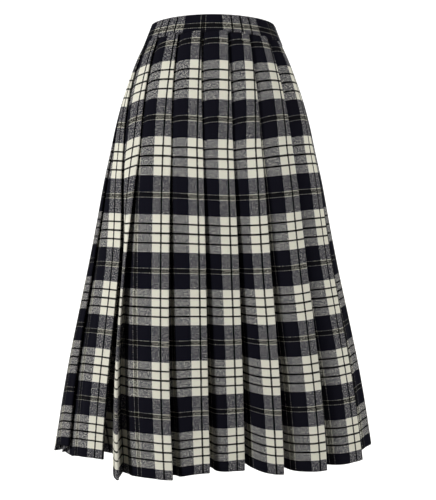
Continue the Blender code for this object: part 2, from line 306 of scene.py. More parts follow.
# Stripes of one half of the sett, from the middle of its dark ground outwards, with widths in
# millimetres. A line is black yarn that lies proud of what it crosses.
HALF_SETT = (
    ("black", 4.0),
    ("yellow", 1.4),
    ("navy", 30.5),
    ("cream", 15.4),
    ("line", 3.4),
    ("cream", 14.55),
    ("line", 1.7),
)
LINE_PROUD = 0.22
WEFT_PROUD = 0.065
BLEND_POWER = 8.0
SLUBS_PER_SETT = 56.0
TWILL_HEIGHT = 0.35
RIB_HEIGHT = 0.15
NAP_HEIGHT = 0.6
NAP_PATCHES = 14.0
NAP_ROUGHNESS = 0.06
COLOUR_SOCKETS = ("Navy", "Black", "Yellow", "Cream")
COLOUR_INPUTS = tuple((name, "Color") for name in COLOUR_SOCKETS)
MASKS = {
    "navy": (0, 0, 0, 0),
    "black": (1, 0, 0, 0),
    "yellow": (0, 1, 0, 0),
    "cream": (0, 0, 1, 0),
    "line": (1, 0, 0, 1),
}

# Camera and stage, as in the photograph of 436 by 500
PHOTO_LONG_SIDE = 500
FOCAL_PIXELS = 1144.0
SENSOR = 36.0
CAMERA_PLACE = (0.0096, -2.2, -0.4006)
CAMERA_PITCH_PIXELS = 10.0
FLOOR_Z = -1.02
FLOOR_HALF = 4.5
SWEEP_START = 2.2
SWEEP_RADIUS = 1.2
SWEEP_TOP = 3.2
SWEEP_STEPS = 12
AIR_LIGHT = 0.012
BACKDROP_BOUNCE = 0.3
BACKDROP_GLOW = 1.08

# Soft lights: name, place, target, size and power
LIGHTS = (
    ("key softbox", (-2.4, -1.8, 0.7), (0.0, 0.0, -0.3), 0.5, 75.0),
    ("right softbox", (2.9, -1.3, 0.3), (0.0, 0.0, -0.4), 1.6, 68.0),
    ("left softbox", (-2.9, -1.0, 0.4), (0.0, 0.0, -0.3), 1.6, 10.0),
    ("back softbox", (0.7, 2.7, 1.1), (0.0, 0.0, -0.4), 1.0, 70.0),
)


def colour_setting(name, description, default):
    more = {"subtype": "COLOR", "size": 3, "min": 0.0, "max": 1.0}
    return bpy.props.FloatVectorProperty(name=name, description=description, default=default, **more)


def length_setting(name, description, default):
    more = {"unit": "LENGTH", "precision": 5}
    return bpy.props.FloatProperty(name=name, description=description, default=default, **more)


class SkirtColours(bpy.types.PropertyGroup):
    navy: colour_setting("Navy", "Ground of the dark blocks", (0.0049, 0.0048, 0.0094))
    black: colour_setting("Black", "Lines and the middle of the dark blocks", (0.0044, 0.0042, 0.0040))
    yellow: colour_setting("Yellow", "Pair of fine lines in the dark blocks", (0.52, 0.50, 0.39))
    cream: colour_setting("Cream", "Ground of the light blocks", (0.80, 0.778, 0.662))
    button: colour_setting("Button", "Polished button", (0.012, 0.010, 0.016))
    thread: colour_setting("Thread", "Sewing thread", (0.018, 0.015, 0.026))
    backdrop: colour_setting("Backdrop", "Floor and sweep behind", (0.93, 0.93, 0.92))


class SkirtSizes(bpy.types.PropertyGroup):
    sett: length_setting("Sett", "Width of one repeat of the tartan", 0.1421)
    cloth: length_setting("Cloth", "Thickness of the shown cloth", 0.0011)
    hem_turning: length_setting("Hem turning", "Height of the doubled cloth at the hem", 0.034)
    hem_extra: length_setting("Hem extra", "Thickness that the turning adds inside", 0.0006)
    yarn: length_setting("Yarn", "Width of one yarn", 0.0009)
    thread_radius: length_setting("Thread radius", "Radius of the sewing thread", 0.00022)
    hem_stitch: length_setting("Hem stitch", "Distance between the hem's catch stitches", 0.009)
    button_radius: length_setting("Button radius", "Radius of the button", 0.009)
    button_thickness: length_setting("Button thickness", "Thickness of the button", 0.0032)


# Small maths


def mix(low, high, share):
    return low + (high - low) * share


def clamp(value):
    return min(1.0, max(0.0, value))


def smooth(value):
    share = clamp(value)
    return share * share * (3.0 - 2.0 * share)


def even_slope(before, after):
    """Slope of a smooth curve where two chords meet, so that it never swings past its points."""
    return 2.0 * before * after / (before + after) if before * after > 0.0 else 0.0


def curve(values, slopes, k, span, share):
    """A smooth curve at a share of the span from value k to the next, with a slope at each value."""
    bend = slopes[k] * (1.0 - share) - slopes[k + 1] * share
    return mix(values[k], values[k + 1], smooth(share)) + span * share * (1.0 - share) * bend


def spline(controls, steps):
    """Points of a centripetal Catmull-Rom curve through rows of numbers, without its last point."""
    points = np.array(controls, float)
    points = np.vstack([2 * points[0] - points[1], points, 2 * points[-1] - points[-2]])
    made = []
    for k, count in enumerate(steps):
        run = list(points[k:k + 4])
        knots = [0.0]
        for a, b in zip(run, run[1:]):
            knots.append(knots[-1] + math.sqrt(max(1e-6, float(np.linalg.norm((b - a)[:3])))))
        t = np.linspace(knots[1], knots[2], count, endpoint=False)[:, None]
        for width in (1, 2):
            ends = [(knots[j], knots[j + width]) for j in range(len(run) - 1)]
            run = [mix(a, b, (t - t0) / (t1 - t0)) for a, b, (t0, t1) in zip(run, run[1:], ends)]
        made.append(mix(run[0], run[1], (t - knots[1]) / (knots[2] - knots[1])))
    return np.vstack(made)


def ring_values(z):
    """Half width, both depths and side lift at any height, as smooth curves through the ring table."""
    heights, values = np.split(np.array(RINGS), [1], axis=1)
    heights = heights.ravel()
    k = int(np.clip(np.searchsorted(-heights, -z) - 1, 0, len(RINGS) - 2))
    span = heights[k + 1] - heights[k]
    return curve(values, np.gradient(values, heights, axis=0), k, span, (z - heights[k]) / span)


# The cloth's form


class Level:
    """The skirt's plan at one height of its front centre."""

    def __init__(self, z):
        self.z = z
        self.half_width, self.front_depth, self.back_depth, self.side_lift = ring_values(z).tolist()
        self.open = clamp((HIP_Z - z) / (HIP_Z - HEM_Z))
        self.layer = mix(HIP_LAYER, HEM_LAYER, self.open)
        once = np.array([self.at_height([fold[name] for name in UNEVEN_COLUMNS]) for fold in FOLDS])
        self.angles = np.concatenate([once - 360.0, once, once + 360.0])

    def at_height(self, values):
        """A value here, as a smooth curve through those at the waist, hip, thigh and hem."""
        heights = (RINGS[1][0], HIP_Z, THIGH_Z, HEM_Z)
        chords = [(values[k + 1] - values[k]) / (heights[k] - heights[k + 1]) for k in range(3)]
        slopes = [chords[0], *map(even_slope, chords, chords[1:]), chords[2]]
        k = 0 if self.z > HIP_Z else 1 if self.z > THIGH_Z else 2
        span = heights[k] - heights[k + 1]
        return curve(values, slopes, k, span, clamp((heights[k] - self.z) / span))

    def fold(self, index):
        return self.angles[index + len(FOLDS)]

    def towards(self, turn):
        return self.front_depth if math.cos(turn) >= 0.0 else self.back_depth

    def outward(self, angle):
        turn = math.radians(angle)
        x = self.towards(turn) * math.sin(turn)
        y = -self.half_width * math.cos(turn)
        size = math.hypot(x, y)
        return x / size, y / size

    def degrees_along(self, angle, length):
        turn = math.radians(angle)
        speed = math.hypot(self.half_width * math.cos(turn), self.towards(turn) * math.sin(turn))
        return math.degrees(length / speed)

    def point(self, angle, depth, lift=0.0):
        turn = math.radians(angle)
        out_x, out_y = self.outward(angle)
        x = self.half_width * math.sin(turn) - out_x * depth
        y = -self.towards(turn) * math.cos(turn) - out_y * depth
        return x, y, self.z + self.side_lift * math.sin(turn) ** 2 + lift

    def cloth(self, angle, depth, lift, dip):
        """A cloth point with its plan angle and its share of the dip beside a held fold."""
        inside = clamp(depth / FULL_RECESS)
        return (*self.point(angle, depth, lift + RECESS_LIFT * self.open * inside), angle, dip)


def at_fold(level, index, column):
    """A fold's value from the table, faded out up to the hip."""
    return FOLDS[index % len(FOLDS)][column] * level.open


def face_controls(level, index):
    """Angle, depth and lift of what follows a fold: its inner fold's end and the next pleat's face."""
    here, before, after = level.fold(index), level.fold(index - 1), level.fold(index + 1)
    fold = FOLDS[index % len(FOLDS)]
    recess = mix(HIP_RECESS, fold["recess"], level.open ** OPENING_POWER)
    inner = here - (here - before) * mix(HIP_UNDER, fold["under"], level.open)
    under_end = recess - level.layer
    back = (here - inner) / level.degrees_along(here, 1.0)
    inwards = under_end - level.layer
    slope = level.layer / math.hypot(back, inwards)
    turned = (inner + level.degrees_along(here, inwards * slope), under_end + back * slope)
    out, next_out = at_fold(level, index, "out"), at_fold(level, index + 1, "out")
    lift, next_lift = at_fold(level, index, "lift"), at_fold(level, index + 1, "lift")
    start_lift = lift + at_fold(level, index, "rise")
    points = [(here, level.layer - out, lift)]
    points += [(angle, depth - out, start_lift) for angle, depth in ((inner, under_end), turned)]
    for along, depth in FACE_POINTS:
        face_out = mix(out, next_out, smooth(along))
        face_depth = recess * mix(depth, 1.0 - along, fold["steep"] * level.open) - face_out
        face_lift = mix(next_lift, start_lift, (1.0 - along) ** 2)
        points.append((mix(here, after, along), face_depth, face_lift))
    shift = level.degrees_along(after, FOLD_SHIFT * level.layer / 2)
    points.append((after - shift, -next_out, next_lift))
    return points


def face_run(level, index):
    """Samples from the inner fold after fold index up to the next outer fold."""
    controls = zip(face_controls(level, index)[2:], FACE_DIPS)
    return spline([level.cloth(*control, dip) for control, dip in controls], FACE_STEPS)


def turn_arc(level, start, end, rightward):
    """Samples round a fold's edge from one angle, depth and lift to another."""
    span = 1.0 / level.degrees_along(start[0], 1.0)
    middle = np.array([(start[0] + end[0]) / 2 * span, (start[1] + end[1]) / 2])
    half = np.array([(end[0] - start[0]) / 2 * span, (end[1] - start[1]) / 2])
    bulge = np.array([half[1], -half[0]]) * (1 if rightward else -1)
    rows = []
    for step in range(ARC_STEPS + 1):
        turn = math.pi * step / ARC_STEPS
        along, depth = middle - half * math.cos(turn) + bulge * math.sin(turn)
        lift = mix(start[2], end[2], step / ARC_STEPS)
        rows.append(level.cloth(along / span, depth, lift, ARC_DIP))
    return np.array(rows)


def fold_run(level, index, ends_panel=False):
    """Samples from outer fold index round its edge and back under to its inner fold."""
    here = level.fold(index)
    edge = here - level.degrees_along(here, FOLD_SHIFT * level.layer / 2)
    _, under_end, face_start = face_controls(level, index)[:3]
    edge_front = (edge, -at_fold(level, index, "out"), at_fold(level, index, "lift"))
    edge_back = (edge, edge_front[1] + level.layer, edge_front[2])
    arc = turn_arc(level, edge_front, edge_back, True)
    back = np.array([
        level.cloth(*[mix(a, b, share) for a, b in zip(edge_back, under_end)], UNDER_DIP)
        for share in np.arange(1, UNDER_STEPS + 1) / (UNDER_STEPS + 1)
    ])
    if ends_panel:
        return arc, back, np.array([level.cloth(*under_end, PANEL_END_DIP)])
    return arc, back, turn_arc(level, under_end, face_start, False)[:-1]


def crease_depths(angles, z):
    """How deep all troughs and ridges press the cloth in, at plan angles of one height."""
    depths = np.zeros(len(angles))
    for angle, lean, top, bottom, width, depth in CREASES:
        down = (top - z) / (top - bottom)
        pressed = math.sin(math.pi * clamp(down))
        strength = pressed if bottom > PRESSED_END_Z else smooth(down * HUNG_GROWTH)
        away = ((angles - angle - lean * down + 180.0) % 360.0 - 180.0) / width
        depths += depth * strength * np.maximum(0.0, 1.0 - away * away) ** 2
    return depths


def dress(level, rows):
    """Add the creases and the dip beside the held folds to samples of the cloth."""
    outward = np.array([level.outward(angle) for angle in rows[:, 3]])
    rows[:, :2] -= outward * crease_depths(rows[:, 3], level.z)[:, None]
    rows[:, 2] -= DIP_TOP * rows[:, 4] * smooth((level.z - DIP_END_Z) / DIP_FADE)
    return rows


def fold_place(level, index, sett):
    """How many setts across an outer fold lies."""
    share = clamp((RINGS[1][0] - level.z) / FOLD_EASE)
    pressed = level.at_height(PRESSED_PAST[index % len(FOLDS)]) / 1000
    return index + (mix(FOLD_AT_WAIST, FOLD_AT_HIP, share) + pressed) / sett


def setts_down(level, angles):
    """Setts down the cloth at plan angles of one height."""
    reaches = np.concatenate([[-HALF_SETT_DROPS[0], 0.0], np.cumsum(HALF_SETT_DROPS)])
    lower = [level.at_height(row) / 1000 for row in HANG_LOWER] * 3
    drops = PATTERN_START_Z - level.z - np.interp(angles, level.angles, lower)
    return PATTERN_START + (np.interp(drops, reaches, np.arange(len(reaches))) - 1) / 2


def lengths(rows):
    """Running length along samples, starting at 0."""
    steps = np.linalg.norm(np.diff(rows[:, :3], axis=0), axis=1)
    return np.concatenate([[0.0], np.cumsum(steps)])


def panel_row(z, first, last, sett):
    """One row of a panel's middle surface: points, and how many setts across and down each lies."""
    level = Level(z)
    parts, across = [], []

    def lay(rows, setts):
        parts.append(rows)
        across.append(setts)

    face = face_run(level, first - 1)
    for index in range(first, last + 1):
        arc, back, inner = fold_run(level, index, index == last)
        at_fold_edge = fold_place(level, index, sett) - (SIDE_SEAM_SHIFT if index == 0 else 0.0)
        reach = lengths(np.vstack([face, arc[:1]]))
        lay(face, at_fold_edge - (reach[-1] - reach[:-1]) / sett)
        around = at_fold_edge + lengths(arc) / sett
        lay(arc, around)
        if index == last:
            tail = np.vstack([back, inner])
            lay(tail, around[-1] + lengths(np.vstack([arc[-1:], tail]))[1:] / sett)
            break
        face = face_run(level, index)
        reach = lengths(np.vstack([inner, face, fold_run(level, index + 1)[0][:1]]))
        at_inner = fold_place(level, index + 1, sett) - reach[-1] / sett
        share = lengths(np.vstack([arc[-1:], back, inner[:1]]))
        lay(back, mix(around[-1], at_inner, share[1:-1] / share[-1]))
        lay(inner, at_inner + reach[:len(inner)] / sett)
    rows = dress(level, np.vstack(parts))
    return rows[:, :3], np.concatenate(across), setts_down(level, rows[:, 3])


def offset_rows(points, distance):
    """Move lines sideways in plan, keeping their distance round bends."""
    sides = np.diff(points[:, :2], axis=0)
    normals = np.stack([sides[:, 1], -sides[:, 0]], axis=1)
    normals /= np.linalg.norm(normals, axis=1)[:, None]
    before = np.vstack([normals[:1], normals])
    after = np.vstack([normals, normals[-1:]])
    miter = (before + after) / np.maximum(1.0 + np.sum(before * after, axis=1), MITER_LIMIT)[:, None]
    moved = points.copy()
    moved[:, :2] += miter * distance
    return moved


def row_heights():
    """Heights of the cloth's rows, from under the waistband to the hem."""
    return np.linspace(CLOTH_TOP_Z, HEM_Z, CLOTH_ROWS)


def panel_surfaces(first, last, sizes):
    """A panel's right side, its wrong side and the setts across and down them, row by row."""
    rows = []
    for z in row_heights():
        points, across, down = panel_row(z, first, last, sizes.sett)
        turned = smooth((HEM_Z + sizes.hem_turning - z) / TURNING_BLEND + 0.5)
        right = offset_rows(points, sizes.cloth / 2)
        wrong = offset_rows(points, -sizes.cloth / 2 - sizes.hem_extra * turned)
        rows.append((right, wrong, across, down))
    return [np.array(part) for part in zip(*rows)]


# Meshes


def add_object(name, data):
    made = bpy.data.objects.new(name, data)
    bpy.context.scene.collection.objects.link(made)
    return made


def mesh_object(name, points, faces, material, uvs=None):
    mesh = bpy.data.meshes.new(name)
    mesh.from_pydata([tuple(p) for p in points], [], faces)
    if uvs is not None:
        corners = np.zeros(len(mesh.loops), dtype=np.int32)
        mesh.loops.foreach_get("vertex_index", corners)
        mesh.uv_layers.new(name="tartan").data.foreach_set("uv", uvs[corners].ravel())
    mesh.shade_smooth()
    mesh.update()
    mesh.materials.append(material)
    return add_object(name, mesh)


def loft_faces(rings, size):
    """Faces of a closed body through rings of points. The last two faces are its ends."""
    faces = []
    for ring in range(rings - 1):
        for k in range(size):
            a, b = ring * size + k, ring * size + (k + 1) % size
            faces.append((a, b, b + size, a + size))
    faces.append(tuple(range(size))[::-1])
    faces.append(tuple(range((rings - 1) * size, rings * size)))
    return faces


def closed_cloth(name, surfaces, material):
    """A closed shell of cloth from its right side, its wrong side and a rounded lower edge."""
    outer, inner, across, down = surfaces
    low = (outer[-1:] + inner[-1:]) / 2 - np.array([0.0, 0.0, HEM_EDGE_DROP])
    rings = np.concatenate([outer, low, inner[::-1]]).swapaxes(0, 1)
    uvs = np.stack([across, down], axis=2)
    uvs = np.concatenate([uvs, uvs[-1:], uvs[::-1]]).swapaxes(0, 1)
    columns, size = rings.shape[:2]
    half = size // 2
    end = [(r, size - 1 - r, size - 2 - r, r + 1) for r in range(half - 1)]
    end.append((half - 1, half + 1, half))
    last = size * (columns - 1)
    faces = loft_faces(columns, size)[:-2] + end
    faces += [tuple(last + k for k in face[::-1]) for face in end]
    return mesh_object(name, rings.reshape(-1, 3), faces, material, uvs.reshape(-1, 2))


def tube_along(path, radius):
    """Points and faces of a closed tube along a list of points."""
    path = np.array(path, float)
    tangents = np.gradient(path, axis=0)
    tangents /= np.linalg.norm(tangents, axis=1)[:, None]
    points = []
    side = np.cross(tangents[0], (0.0, 0.0, 1.0))
    if np.linalg.norm(side) < 0.1:
        side = np.cross(tangents[0], (0.0, 1.0, 0.0))
    for place, tangent in zip(path, tangents):
        side = side - tangent * side.dot(tangent)
        side /= np.linalg.norm(side)
        up = np.cross(tangent, side)
        for turn in np.arange(THREAD_SIDES) * 2 * math.pi / THREAD_SIDES:
            points.append(place + radius * (math.cos(turn) * side + math.sin(turn) * up))
    return points, loft_faces(len(path), THREAD_SIDES)


def evaluated_mesh(thing):
    """A plain mesh of an object as its modifiers leave it."""
    graph = bpy.context.evaluated_depsgraph_get()
    graph.update()
    return bpy.data.meshes.new_from_object(thing.evaluated_get(graph), depsgraph=graph)


# Nodes


class Net:
    """A node tree that is wired up while its nodes are made."""

    def __init__(self, tree):
        self.tree = tree

    def fill(self, node, inputs):
        """Set a node's inputs to values, or link them to a node's first output or to one output."""
        for name, value in inputs.items():
            if isinstance(value, bpy.types.Node):
                value = value.outputs[0]
            if isinstance(value, bpy.types.NodeSocket):
                self.tree.links.new(value, node.inputs[name])
            else:
                node.inputs[name].default_value = value

    def add(self, kind, inputs=None, **settings):
        node = self.tree.nodes.new(kind)
        for name, value in settings.items():
            setattr(node, name, value)
        self.fill(node, inputs or {})
        return node

    def maths(self, operation, *values):
        return self.add("ShaderNodeMath", dict(enumerate(values)), operation=operation)

    def noise(self, places, scale, detail=2.0, distortion=0.0):
        inputs = {"Vector": places, "Scale": scale, "Detail": detail, "Distortion": distortion}
        return self.add("ShaderNodeTexNoise", inputs)

    def gamma(self, colour, power):
        return self.add("ShaderNodeGamma", {"Color": colour, "Gamma": power})

    def blend(self, share, first, second):
        return self.add("ShaderNodeMix", {0: share, 6: first, 7: second}, data_type="RGBA").outputs[2]

    def bump(self, height, strength, distance):
        return self.add("ShaderNodeBump", {"Height": height, "Strength": strength, "Distance": distance})

    def group(self, name, make, inputs):
        tree = shared(bpy.data.node_groups, name, make)
        return self.add("ShaderNodeGroup", inputs, node_tree=tree).outputs


def shared(things, name, make, *given):
    """The thing of this name, made when it is first asked for."""
    if name not in things:
        make(name, *given)
    return things[name]


def new_group(name, inputs, outputs, kind="ShaderNodeTree"):
    """A node group with its sockets: its net, what it is given and the node that takes its results."""
    tree = bpy.data.node_groups.new(name, kind)
    for way, sockets in (("INPUT", inputs), ("OUTPUT", outputs)):
        for socket, value_kind, *default in sockets:
            socket_type = "NodeSocket" + value_kind
            made = tree.interface.new_socket(name=socket, in_out=way, socket_type=socket_type)
            if default:
                made.default_value = default[0]
    net = Net(tree)
    return net, net.add("NodeGroupInput").outputs, net.add("NodeGroupOutput")


def stripe_group(name):
    """Colour of the yarn at a place in the sett, and whether it is a line."""
    inputs = [("Setts", "Float", 0.0), *COLOUR_INPUTS]
    net, given, result = new_group(name, inputs, [("Color", "Color"), ("Line", "Float")])
    ramp = net.add("ShaderNodeValToRGB", {0: net.maths("FRACT", given["Setts"])})
    ramp.color_ramp.interpolation = "CONSTANT"
    elements = ramp.color_ramp.elements
    elements.remove(elements[-1])
    stripes = HALF_SETT + HALF_SETT[::-1]
    total = sum(width for _, width in stripes)
    place = 0.0
    for number, (colour, width) in enumerate(stripes):
        stripe = elements.new(place / total) if number else elements[0]
        stripe.color = MASKS[colour]
        place += width
    masks = net.add("ShaderNodeSeparateColor", {0: ramp})
    colour = given["Navy"]
    for mask, socket in zip(masks.outputs, COLOUR_SOCKETS[1:]):
        colour = net.blend(mask, colour, given[socket])
    net.fill(result, {"Color": colour, "Line": ramp.outputs[1]})


def tartan_group(name):
    """Warp and weft of a twill tartan from setts across and down the cloth."""
    inputs = [
        ("Setts", "Vector"),
        ("Yarns per sett", "Float", 236.0),
        ("Twill contrast", "Float", 0.26),
        ("Yarn unevenness", "Float", 1.7),
        *COLOUR_INPUTS,
    ]
    net, given, result = new_group(name, inputs, [("Color", "Color"), ("Height", "Float")])
    places = net.add("ShaderNodeSeparateXYZ", {0: given["Setts"]}).outputs
    colours, lines, ribs = [], [], []
    for place in places[:2]:
        sockets = {socket: given[socket] for socket in COLOUR_SOCKETS}
        yarn = net.group("Sett yarn colour", stripe_group, {"Setts": place, **sockets})
        colours.append(net.gamma(yarn["Color"], 1 / BLEND_POWER))
        lines.append(yarn["Line"])
        count = net.maths("MULTIPLY", place, given["Yarns per sett"])
        ribs.append(net.maths("SINE", net.maths("MULTIPLY", count, 2 * math.pi)))
    diagonal = net.maths("ADD", places[0], places[1])
    turns = net.maths("MULTIPLY", diagonal, given["Yarns per sett"])
    wave = net.maths("SINE", net.maths("MULTIPLY", turns, math.pi / 2))
    proud = net.maths("SUBTRACT", lines[1], lines[0])
    middle = net.maths("MULTIPLY_ADD", proud, LINE_PROUD, 0.5 + WEFT_PROUD)
    twill = net.maths("MULTIPLY_ADD", wave, given["Twill contrast"], middle)
    slubs = net.maths("SUBTRACT", net.noise(given["Setts"], SLUBS_PER_SETT, 1.0), 0.5)
    on_top = net.maths("MULTIPLY_ADD", slubs, given["Yarn unevenness"], twill)
    ribbed = net.maths("MULTIPLY", net.maths("ADD", *ribs), RIB_HEIGHT)
    net.fill(result, {
        "Color": net.gamma(net.blend(on_top, *colours), BLEND_POWER),
        "Height": net.maths("MULTIPLY_ADD", wave, TWILL_HEIGHT, ribbed),
    })


def nap_group(name):
    """Soft unevenness of brushed wool: colour, roughness and fuzz height."""
    inputs = [
        ("Color", "Color"),
        ("Vector", "Vector"),
        ("Unevenness", "Float", 0.10),
        ("Fuzz scale", "Float", 900.0),
        ("Roughness", "Float", 0.86),
    ]
    outputs = [("Color", "Color"), ("Roughness", "Float"), ("Height", "Float")]
    net, given, result = new_group(name, inputs, outputs)
    fuzz = net.noise(given["Vector"], given["Fuzz scale"], 3.0)
    broad = net.noise(given["Vector"], NAP_PATCHES)
    away = net.maths("SUBTRACT", net.maths("ADD", fuzz, broad), 1.0)
    gain = net.maths("MULTIPLY_ADD", away, given["Unevenness"], 1.0)
    net.fill(result, {
        "Color": net.add("ShaderNodeVectorMath", {0: given["Color"], "Scale": gain}, operation="SCALE"),
        "Roughness": net.maths("MULTIPLY_ADD", away, NAP_ROUGHNESS, given["Roughness"]),
        "Height": fuzz,
    })


# Materials


def toned(colour, gain=1.0, lift=0.0):
    """A setting's colour, made lighter or darker, with its alpha."""
    return (*[min(1.0, part * gain + lift) for part in colour], 1.0)


def new_material(name):
    """A material's net, its shader and the object's coordinates in it."""
    material = bpy.data.materials.new(name)
    material.use_nodes = True
    net = Net(material.node_tree)
    place = net.add("ShaderNodeTexCoord").outputs["Object"]
    return net, material.node_tree.nodes["Principled BSDF"], place


def tartan_material(name, colours, sizes):
    net, shader, place = new_material(name)
    yarns = (colours.navy, colours.black, colours.yellow, colours.cream)
    weave = net.group("Tartan twill", tartan_group, {
        "Setts": net.add("ShaderNodeUVMap", uv_map="tartan"),
        "Yarns per sett": round(sizes.sett / sizes.yarn),
        **{socket: toned(colour) for socket, colour in zip(COLOUR_SOCKETS, yarns)},
    })
    nap = net.group("Wool nap", nap_group, {"Color": weave["Color"], "Vector": place})
    heights = net.maths("MULTIPLY_ADD", nap["Height"], NAP_HEIGHT, weave["Height"])
    net.fill(shader, {
        "Base Color": nap["Color"],
        "Roughness": nap["Roughness"],
        "Normal": net.bump(heights, strength=0.35, distance=0.0002),
        "Specular IOR Level": 0.05,
        "Sheen Weight": 0.02,
        "Sheen Roughness": 0.55,
    })


def button_material(name, colours):
    net, shader, place = new_material(name)
    swirl = net.noise(place, scale=260.0, distortion=1.5)
    lighter = toned(colours.button, gain=2.6, lift=0.004)
    net.fill(shader, {
        "Base Color": net.blend(swirl, toned(colours.button), lighter),
        "Roughness": net.maths("MULTIPLY_ADD", swirl, 0.16, 0.22),
        "Specular IOR Level": 0.5,
    })


def thread_material(name, colours):
    net, shader, place = new_material(name)
    wave = {"wave_type": "BANDS", "bands_direction": "DIAGONAL"}
    ply = net.add("ShaderNodeTexWave", {"Vector": place, "Scale": 900.0}, **wave).outputs["Fac"]
    lighter = toned(colours.thread, gain=2.2, lift=0.006)
    net.fill(shader, {
        "Base Color": net.blend(ply, toned(colours.thread), lighter),
        "Normal": net.bump(ply, strength=0.4, distance=0.0001),
        "Roughness": 0.6,
    })


def backdrop_material(name, colours):
    net, shader, place = new_material(name)
    paper = [toned(colours.backdrop, BACKDROP_BOUNCE * gain) for gain in (1.0, 0.98)]
    seen = net.add("ShaderNodeLightPath").outputs["Is Camera Ray"]
    net.fill(shader, {
        "Base Color": net.blend(net.noise(place, scale=3.0), *paper),
        "Roughness": 1.0,
        "Specular IOR Level": 0.0,
        "Emission Color": toned(colours.backdrop),
        "Emission Strength": net.maths("MULTIPLY", seen, BACKDROP_GLOW),
    })


def tartan():
    scene = bpy.context.scene
    given = (scene.skirt_colours, scene.skirt_sizes)
    return shared(bpy.data.materials, "wool tartan", tartan_material, *given)


def plain_look(name, make):
    return shared(bpy.data.materials, name, make, bpy.context.scene.skirt_colours)


# Pieces


def put_in_place(piece, node):
    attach(piece, BODY)
    if node:
        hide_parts(node)


def stitch_tree(name):
    """Short threads laid along a path, turned from it by an angle."""
    inputs = [
        ("Geometry", "Geometry"),
        ("Pitch", "Float", 0.003),
        ("Length", "Float", 0.002),
        ("Radius", "Float", 0.0002),
        ("Turn", "Float", 0.0),
        ("Thread", "Material"),
    ]
    net, given, result = new_group(name, inputs, [("Geometry", "Geometry")], "GeometryNodeTree")
    path = net.add("GeometryNodeMeshToCurve", {"Mesh": given["Geometry"]})
    spacing = {"Curve": path, "Length": given["Pitch"]}
    spaced = net.add("GeometryNodeResampleCurve", spacing, mode="LENGTH")
    form = {"Vertices": THREAD_SIDES, "Radius": given["Radius"], "Depth": given["Length"]}
    thread = net.add("GeometryNodeMeshCylinder", form)
    tangent = net.add("GeometryNodeInputTangent")
    along = net.add("FunctionNodeAlignRotationToVector", {"Vector": tangent}, axis="Z")
    angle = net.add("FunctionNodeAxisAngleToRotation", {"Axis": (1.0, 0.0, 0.0), "Angle": given["Turn"]})
    rotation = {"Rotation": along, "Rotate By": angle}
    turned = net.add("FunctionNodeRotateRotation", rotation, rotation_space="LOCAL")
    placing = {"Points": spaced, "Instance": thread, "Rotation": turned}
    placed = net.add("GeometryNodeInstanceOnPoints", placing)
    real = net.add("GeometryNodeRealizeInstances", {0: placed})
    finish = net.add("GeometryNodeSetMaterial", {"Geometry": real, "Material": given["Thread"]})
    net.fill(result, {0: finish})


def stitches(name, paths, pitch, length, turn=0.0):
    """Stitches along each path, made with Geometry Nodes and kept as a plain mesh."""
    points, edges = [], []
    for path in paths:
        start = len(points)
        points += [tuple(p) for p in path]
        edges += [(k, k + 1) for k in range(start, len(points) - 1)]
    mesh = bpy.data.meshes.new(name + " path")
    mesh.from_pydata(points, edges, [])
    guide = add_object(name + " path", mesh)
    modifier = guide.modifiers.new("stitches", "NODES")
    modifier.node_group = shared(bpy.data.node_groups, "Stitches along a path", stitch_tree)
    values = {
        "Pitch": pitch,
        "Length": length,
        "Radius": bpy.context.scene.skirt_sizes.thread_radius,
        "Turn": math.radians(turn),
        "Thread": plain_look("sewing thread", thread_material),
    }
    for item in modifier.node_group.interface.items_tree:
        if item.in_out == "INPUT" and item.name in values:
            modifier[item.identifier] = values[item.name]
    mesh = evaluated_mesh(guide)
    bpy.data.objects.remove(guide, do_unlink=True)
    if len(mesh.polygons) == 0:
        raise RuntimeError(name + " made no stitches")
    mesh.name = name
    put_in_place(add_object(name, mesh), None)


def make_panel(sizes, name, node, first, last):
    surfaces = panel_surfaces(first, last, sizes)
    panel = closed_cloth(name, surfaces, tartan())
    put_in_place(panel, node)
    turning_top = HEM_Z + sizes.hem_turning + HEM_STITCH_ABOVE
    line = surfaces[1][int(np.argmin(np.abs(row_heights() - turning_top)))]
    pitch = sizes.hem_stitch
    length = pitch * HEM_STITCH_SHARE
    stitches(name + "_hem_stitches", [line], pitch, length, HEM_STITCH_TURN)


class SKIRT_OT_panels(bpy.types.Operator):
    """Make the pleated front and back panels and their hem stitches"""

    bl_idname = "skirt.panels"
    bl_label = "Panels"

    def execute(self, context):
        sizes = context.scene.skirt_sizes
        make_panel(sizes, "front_panel", "skirt_front", 0, len(FRONT_FOLDS) - 1)
        make_panel(sizes, "back_panel", "skirt_back", len(FRONT_FOLDS), len(FOLDS) - 1)
        return {"FINISHED"}


def band_levels():
    """Plans of the skirt at the heights of the waistband's rows, lowest first, and at its top."""
    seam, top = RINGS[1][0] - BAND_LIP, RINGS[0][0]
    return [Level(z) for z in np.linspace(seam, top - BAND_CLOTH / 2, BAND_ROWS)], Level(top)


def band_raise(angle):
    """How far the waistband stands out to pass over its own start."""
    share = smooth((angle - (BAND_START + 360.0 - BAND_RAMP)) / BAND_RAMP_END)
    return share * (BAND_CLOTH + BAND_LAYER_GAP)


def band_point(level, angle, out):
    """A point of the waistband's surface, out from its middle line."""
    return level.point(angle, BAND_INSET - band_raise(angle) - out)


